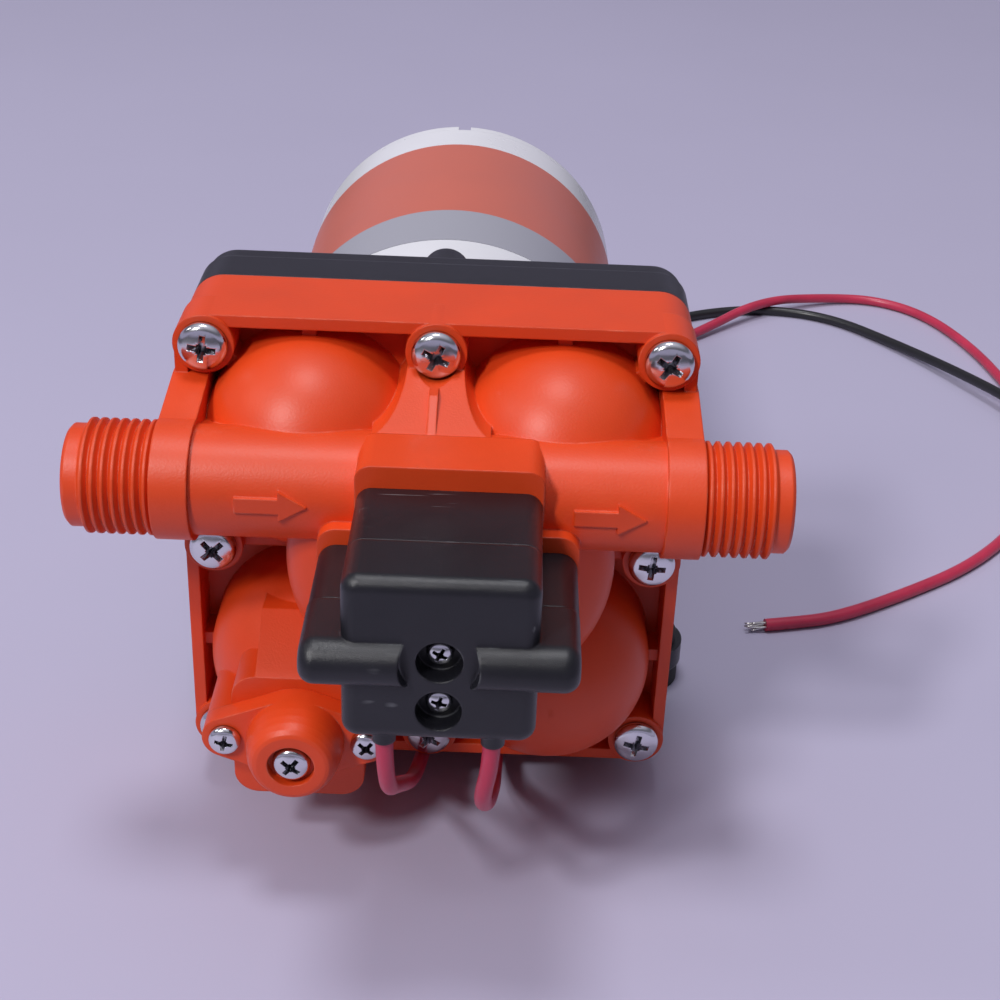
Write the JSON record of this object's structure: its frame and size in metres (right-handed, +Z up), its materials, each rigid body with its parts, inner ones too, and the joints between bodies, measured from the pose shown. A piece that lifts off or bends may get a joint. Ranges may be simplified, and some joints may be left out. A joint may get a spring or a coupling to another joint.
{
  "type": "diaphragm water pump",
  "caption": "Low-voltage diaphragm pump: domed orange head with threaded ports, pressure switch and bypass valve, driven by a round motor on a base with rubber feet.",
  "frame": {"origin": "middle of the four mounting holes, on the surface that the feet stand on", "axes": "+X towards the outlet port, +Y along the motor axis towards the motor's rear, +Z up"},
  "size_m": [0.251, 0.3369, 0.1036],
  "materials": {
    "orange_plastic": "satin moulded",
    "black_plastic": "fine texture",
    "white_plastic": "natural",
    "glass_filled_plastic": "glass filled",
    "soft_rubber": "soft",
    "motor_paint": "white paint",
    "label_foil": "plain printed foil",
    "screw_chrome": "bright",
    "zinc_steel": "zinc plated",
    "bearing_steel": "ground",
    "spring_steel": "drawn",
    "cast_hub": "cast",
    "copper": "enamelled",
    "brass": "plain",
    "carbon": "pressed carbon",
    "lead_red": "insulation",
    "lead_black": "insulation"
  },
  "bodies": {
    "pump": {"upper_housing": "orange_plastic", "bypass_cap": "orange_plastic", "diaphragm_housing": "black_plastic", "drive_housing": "black_plastic", "switch_base": "black_plastic", "switch_cover": "black_plastic", "mounting_base": "black_plastic", "micro_switch": "black_plastic", "brush_card": "black_plastic", "valve_plate": "white_plastic", "rubber_feet": "soft_rubber", "valve_plate_seal": "soft_rubber", "bypass_cap_seal": "soft_rubber", "inlet_valves": "soft_rubber", "outlet_valve": "soft_rubber", "diaphragm": "soft_rubber", "switch_diaphragm": "soft_rubber", "lead_grommets": "soft_rubber", "motor_can": "motor_paint", "motor_end_cap": "motor_paint", "motor_label": "label_foil", "flange_screws": "screw_chrome", "bypass_cap_screws": "screw_chrome", "switch_cover_screw": "screw_chrome", "motor_screws": "zinc_steel", "base_screws": "zinc_steel", "switch_base_screws": "zinc_steel", "front_bearing_outer_race": "bearing_steel", "bypass_spring": "spring_steel", "switch_spring": "spring_steel", "brush_springs": "spring_steel", "motor_magnets": "cast_hub", "rear_bush": "brass", "switch_terminals": "brass", "link_lead": "lead_red", "supply_lead_red": "lead_red", "supply_lead_black": "lead_black"},
    "rotor": {"motor_shaft": "bearing_steel", "armature_core": "bearing_steel", "armature_windings": "copper", "commutator": "copper", "eccentric_hub": "cast_hub", "hub_set_screw": "zinc_steel", "front_bearing_inner_race": "bearing_steel", "wobble_bearing_inner_race": "bearing_steel"},
    "wobble": {"wobble_plate": "glass_filled_plastic", "piston_caps": "glass_filled_plastic", "piston_screws": "zinc_steel", "wobble_bearing_outer_race": "bearing_steel"},
    "wobble_balls": {"wobble_bearing_balls": "bearing_steel"},
    "front_balls": {"front_bearing_balls": "bearing_steel"},
    "brush_left": {"brush_left": "carbon"},
    "brush_right": {"brush_right": "carbon"},
    "poppet": {"bypass_poppet": "white_plastic"},
    "bypass_seat": {"bypass_spring_seat": "white_plastic"},
    "bypass_screw": {"bypass_adjusting_screw": "screw_chrome"},
    "plunger": {"switch_plunger": "white_plastic"},
    "button": {"micro_switch_button": "white_plastic"},
    "pressure_screw": {"switch_adjusting_screw": "screw_chrome"},
    "spring_nut": {"switch_spring_nut": "spring_steel"}
  },
  "joints": [
    {"name": "shaft_spin", "type": "hinge", "parent": "pump", "child": "rotor", "pos_m": [0, 0, 0.056], "axis": [0, 1, 0], "continuous": true},
    {"name": "wobble_spin", "type": "hinge", "parent": "rotor", "child": "wobble", "pos_m": [0, -0.0635, 0.056], "axis": [0, 0.9976, -0.0698], "continuous": true, "deforming": ["diaphragm"]},
    {"name": "wobble_cage_spin", "type": "hinge", "parent": "rotor", "child": "wobble_balls", "pos_m": [0, -0.0635, 0.056], "axis": [0, 0.9976, -0.0698], "continuous": true},
    {"name": "front_cage_spin", "type": "hinge", "parent": "pump", "child": "front_balls", "pos_m": [0, -0.0295, 0.056], "axis": [0, 1, 0], "continuous": true},
    {"name": "brush_left_slide", "type": "slide", "parent": "pump", "child": "brush_left", "axis": [-1, 0, 0], "range_m": [0, 0.002], "stiffness_N_per_m": 200, "springref_m": -0.004, "deforming": ["brush_springs"]},
    {"name": "brush_right_slide", "type": "slide", "parent": "pump", "child": "brush_right", "axis": [1, 0, 0], "range_m": [0, 0.002], "stiffness_N_per_m": 200, "springref_m": -0.004, "deforming": ["brush_springs"]},
    {"name": "bypass_lift", "type": "slide", "parent": "pump", "child": "poppet", "axis": [0, -1, 0], "range_m": [0, 0.002], "stiffness_N_per_m": 2000, "springref_m": -0.003, "deforming": ["bypass_spring"]},
    {"name": "bypass_seat_slide", "type": "slide", "parent": "pump", "child": "bypass_seat", "axis": [0, 1, 0], "range_m": [-0.001, 0.001], "deforming": ["bypass_spring"]},
    {"name": "bypass_screw_turn", "type": "hinge", "parent": "bypass_seat", "child": "bypass_screw", "pos_m": [-0.0235, -0.115, 0.031], "axis": [0, 1, 0], "range_deg": [-360, 360]},
    {"name": "pressure_plunger_slide", "type": "slide", "parent": "pump", "child": "plunger", "axis": [0, -1, 0], "range_m": [0, 0.001], "stiffness_N_per_m": 2000, "springref_m": -0.003, "deforming": ["switch_spring", "switch_diaphragm"]},
    {"name": "micro_button_slide", "type": "slide", "parent": "pump", "child": "button", "axis": [0, -1, 0], "range_m": [0, 0.001]},
    {"name": "pressure_screw_turn", "type": "hinge", "parent": "pump", "child": "pressure_screw", "pos_m": [0.00385, -0.135, 0.0706], "axis": [0, 1, 0], "range_deg": [-720, 720]},
    {"name": "spring_nut_slide", "type": "slide", "parent": "pump", "child": "spring_nut", "axis": [0, 1, 0], "range_m": [-0.001, 0.001], "deforming": ["switch_spring"]}
  ],
  "couplings": [
    {"joint": "wobble_spin", "follows": "shaft_spin", "ratio": -1},
    {"joint": "wobble_cage_spin", "follows": "shaft_spin", "ratio": -0.594},
    {"joint": "front_cage_spin", "follows": "shaft_spin", "ratio": 0.38},
    {"joint": "bypass_screw_turn", "follows": "bypass_seat_slide", "rad_per_m": 6283.2},
    {"joint": "micro_button_slide", "follows": "pressure_plunger_slide", "ratio": 1},
    {"joint": "pressure_screw_turn", "follows": "spring_nut_slide", "rad_per_m": -12566}
  ]
}
